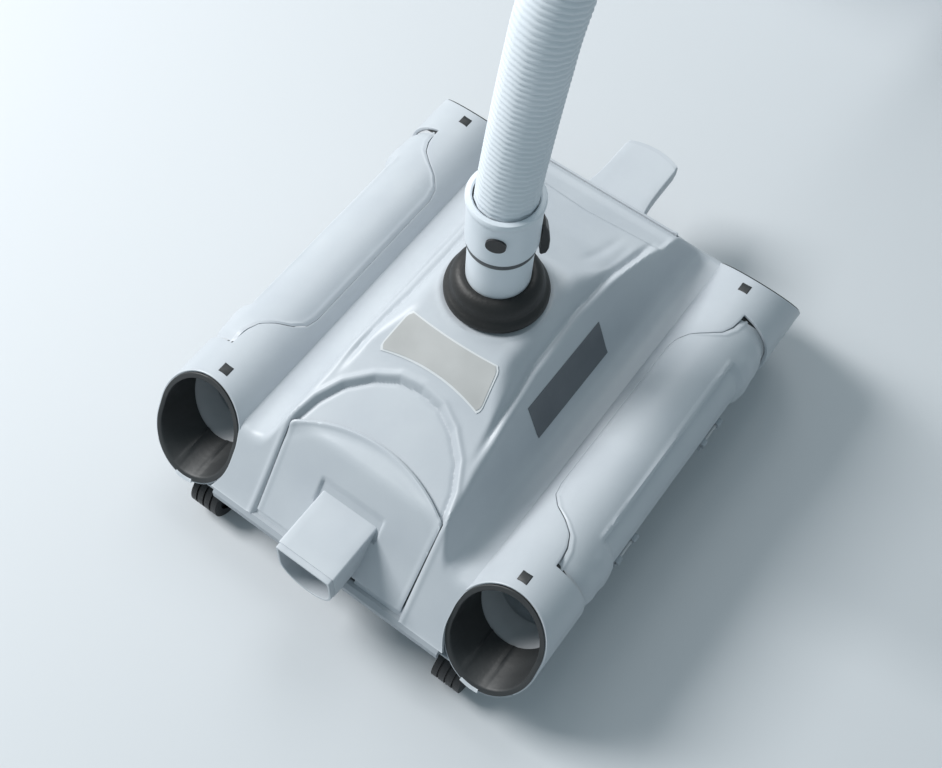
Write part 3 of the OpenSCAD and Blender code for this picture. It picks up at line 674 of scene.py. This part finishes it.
def ears(name, at, plate, body):
    """Pivot ears of a flap: round eyes joined to the plate."""
    y, z = at
    sign = math.copysign(1, y)
    turn = np.linspace(0, 2 * math.pi, 28, endpoint=False)
    outline = [(y + EYE_R * math.cos(a), z + EYE_R * math.sin(a)) for a in turn if math.cos(a) * sign < 0.3]
    outline.sort(key=lambda p: math.atan2(p[1] - z, (p[0] - y) * -sign))
    outline += [(sign * b, c) for b, c in plate]
    out = []
    for s in (-1, 1):
        n = len(outline)
        verts = [(s * x, p, q) for x in (61, 65.6) for p, q in outline]
        faces = [tuple(range(n)), tuple(range(2 * n - 1, n - 1, -1))]
        faces += [(i, (i + 1) % n, n + (i + 1) % n, n + i) for i in range(n)]
        o = mesh_object(f"{name}_{'right' if s > 0 else 'left'}", verts, faces, "panel_grey", body)
        out.append(applied(o, soft_edges(0.4)))
    return out


def front_flap():
    """The plate under the arch, with a raised edge and a pocket round its spout."""
    ts = np.linspace(0, 1, 64)
    s = np.linspace(-1, 1, 111)
    rows = []
    for t in ts:
        for v in s:
            x = v * FLAP_HALF
            y_arch = ARCH_Y - ARCH_R + math.sqrt(ARCH_R**2 - x * x)
            y = FLAP_FOOT_Y + (y_arch - FLAP_FOOT_Y) * t
            d = y_arch - y
            z = float(rounded(SIDE, np.array(y), 3)) - 1.4
            z += 1.6 * math.exp(-(((d - 2.2) / 1.6) ** 2)) - 0.5 * math.exp(-(((d - 8) / 3) ** 2))
            z += 0.8 * math.exp(-(((FLAP_HALF - abs(x) - 2) / 1.6) ** 2))
            pocket = float(soft_step((spout_half(3.5) - abs(x)) / 1.2))
            pocket *= float(soft_step((-164.5 - y) / 1.2))
            z -= 3.2 * pocket * float(soft_step((y + 178) / 1.6))
            rows.append((x, y, z))
    o = mesh_object("front_flap_plate", rows, grid_faces(len(ts), len(s)), "panel_grey", "front_flap")
    orient(o, (0, -120, 0))
    applied(o, thick(2.2), soft_edges(0.5))
    return cut(o, prism(rectangle(SPOUT_HOLE, -230, -182), 40, 92))


def rear_flap():
    """The plate under the shell's rear edge, with a rolled lip along its top."""
    (y1, z1), (y0, z0) = (151.9, 128.4), (197.0, 62.9)
    run = math.hypot(y1 - y0, z1 - z0)
    ny, nz = (z1 - z0) / run, (y0 - y1) / run
    rows = []
    along, across = 56, 91
    for t in np.linspace(0, 1, along):
        for x in np.linspace(-FLAP_HALF, FLAP_HALF, across):
            d = (1 - t) * run
            lift = 1.7 * math.exp(-(((d - 1.8) / 1.5) ** 2))
            lift += 0.7 * math.exp(-(((FLAP_HALF - abs(x) - 2) / 1.6) ** 2))
            rows.append((x, y0 + (y1 - y0) * t + ny * lift, z0 + (z1 - z0) * t + nz * lift))
    o = mesh_object("rear_flap_plate", rows, grid_faces(along, across), "panel_grey", "rear_flap")
    orient(o, (0, 100, 60))
    applied(o, thick(2.6), soft_edges(0.5))
    return cut(o, prism(rectangle(SPOUT_HOLE, 160, 240), 72, 96))


EAR = [(151.0, 125.6), (154.8, 120.2)]
flap_pieces = [front_flap(), spout("front_flap_spout", -168, -223, 98, 25, "front_flap")]
flap_pieces += ears("front_flap_ear", (-147, 123.5), EAR, "front_flap")
for o in flap_pieces:
    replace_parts(o, "front_flap")
flap_pieces = [rear_flap(), spout("rear_flap_spout", 169, 231, 100, 8, "rear_flap", root=5, bow=6)]
flap_pieces += ears("rear_flap_ear", (147, 123.5), EAR, "rear_flap")
for o in flap_pieces:
    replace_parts(o, "rear_flap")


# ---------------------------------------------------------------- boot, pipe and collar
BUTTON_RIGHT = 40
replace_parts(lathe("boot", [
    (24.5, 176.3), (37.2, 176.3), (38, 177.2), (38.1, 179.5), (37.6, 181.6), (36.2, 183.3), (34.6, 184.6),
    (34.0, 186.2), (33.7, 189.4), (33.0, 192.4), (31.6, 195.2), (29.4, 197.6), (26.8, 198.9), (24.5, 199),
    (23.4, 198.6), (23.4, 190),
], "boot_rubber", "base"), "swivel_boot")
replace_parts(lathe("collar", [
    (23.2, 240), (24.4, 240), (25.1, 240.6), (25.4, 241.6), (25.4, 246), (25.4, 252),
    (25.4, 277.6), (25.5, 279.6), (25.9, 280.4), (26.5, 281.4), (26.6, 282.4), (26.6, 284.6), (26, 285.8),
    (25, 286),
    (23, 286), (21.9, 285.2), (21.9, 270), (23.2, 268),
], "swivel_white", "swivel"), "hose_collar")
# Dark ring at the collar's foot: painted shade for the shadowed groove under the collar.
lathe("collar_foot_shade", [
    (23.2, 234.5), (23.8, 234.5), (24.3, 235.2), (24.5, 236.6), (24.2, 238.4), (23.9, 239.9), (23.2, 239.9),
], "coupling_grey", "swivel")


def wedge_latch():
    """Tapered latch lever that stands out from the collar's side."""
    a = math.radians(BUTTON_RIGHT)
    out, across = (math.cos(a), math.sin(a)), (-math.sin(a), math.cos(a))
    side_view = [
        (25.6, 257.5), (27.4, 257), (30.2, 250), (31.8, 240), (31.9, 231), (30.6, 226.4), (27.6, 225),
        (25.6, 227)]
    rows = []
    for w, shrink in ((-5.4, 0.8), (-4.6, 0), (0, -0.3), (4.6, 0), (5.4, 0.8)):
        for r, z in side_view:
            rr = r - shrink * (r > 26)
            rows.append((rr * out[0] + w * across[0], rr * out[1] + w * across[1], z))
    n = len(side_view)
    faces = grid_faces(5, n, wrap_u=True) + [tuple(range(n))[::-1], tuple(range(4 * n, 5 * n))]
    return mesh_object("latch_lever_right", rows, faces, "button_dark", "latch_right")


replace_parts(wedge_latch(), "latch_button_right")

# ---------------------------------------------------------------- badge and label
BADGE_REAR, BADGE_FRONT = 37.5, 43


def patch(name, outline_rows, lift, mat, slot):
    """A thin plate that lies on the body, given as rows of (x, y)."""
    rows = np.array(outline_rows, float)
    z = height(rows[..., 0], rows[..., 1]) + lift
    pts = np.dstack([rows, z]).reshape(-1, 3)
    o = mesh_object(name, pts, grid_faces(rows.shape[0], rows.shape[1]), mat, "base", slot)
    orient(o, (0, 0, 0))
    return applied(o, thick(0.5, 0))


def badge_rows(grow):
    """Outline of the badge as rows, widened by grow."""
    rows = []
    for t in np.linspace(0, 1, 14):
        row = []
        for v in np.linspace(-1, 1, 41):
            half = BADGE_REAR + (BADGE_FRONT - BADGE_REAR) * t + grow
            trim = 1 - 0.06 * max(0, abs(2 * t - 1) - 0.8) / 0.2
            x = v * half * trim
            y = -50 + grow - t * (29 + 2 * grow) + 5.5 * t * (1 - v * v) - 1.5 * (1 - t) * (1 - v * v)
            row.append((x, y))
        rows.append(row)
    return rows


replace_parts(patch("badge_edge", badge_rows(1.3), 0.35, "badge_line", "badge_grey"), "badge_plate")
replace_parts(patch("badge", badge_rows(0), 0.75, "badge_grey", "badge_grey"), "badge_plate")
label_rows = [[(x, y) for y in np.linspace(-50, 40, 40)] for x in np.linspace(65.2, 77.6, 10)]
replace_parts(patch("label", label_rows, 0.5, "label_dark", "label_dark"), "info_label")

# ---------------------------------------------------------------- floor and light
bpy.ops.mesh.primitive_plane_add(size=12, location=(0, 0, -0.0005))
floor = bpy.context.object
floor.name = "floor"
fm = bpy.data.materials.new("floor")
fm.use_nodes = True
fm.node_tree.nodes["Principled BSDF"].inputs["Base Color"].default_value = (0.62, 0.64, 0.66, 1)
fm.node_tree.nodes["Principled BSDF"].inputs["Roughness"].default_value = 0.85
floor.data.materials.append(fm)


def lamp(name, at, size, power, colour=(1, 1, 1)):
    """An area light aimed at the object's middle."""
    d = bpy.data.lights.new(name, "AREA")
    d.size = size
    d.energy = power
    d.color = colour
    o = bpy.data.objects.new(name, d)
    o.location = at
    o.rotation_euler = (Vector((0, 0, 0.08)) - Vector(at)).to_track_quat("-Z", "Y").to_euler()
    bpy.context.collection.objects.link(o)


lamp("key", (-1.7, -0.5, 1.7), 0.9, 60)
lamp("fill", (1.6, -1.2, 1.0), 1.8, 1.6, (0.84, 0.94, 1))
lamp("top", (-0.5, 1.3, 2.2), 1.2, 13)
world = bpy.data.worlds.new("world")
world.use_nodes = True
world.node_tree.nodes["Background"].inputs["Color"].default_value = (0.66, 0.84, 0.93, 1)
world.node_tree.nodes["Background"].inputs["Strength"].default_value = 0.38
bpy.context.scene.world = world
bpy.context.scene.view_settings.view_transform = "Standard"
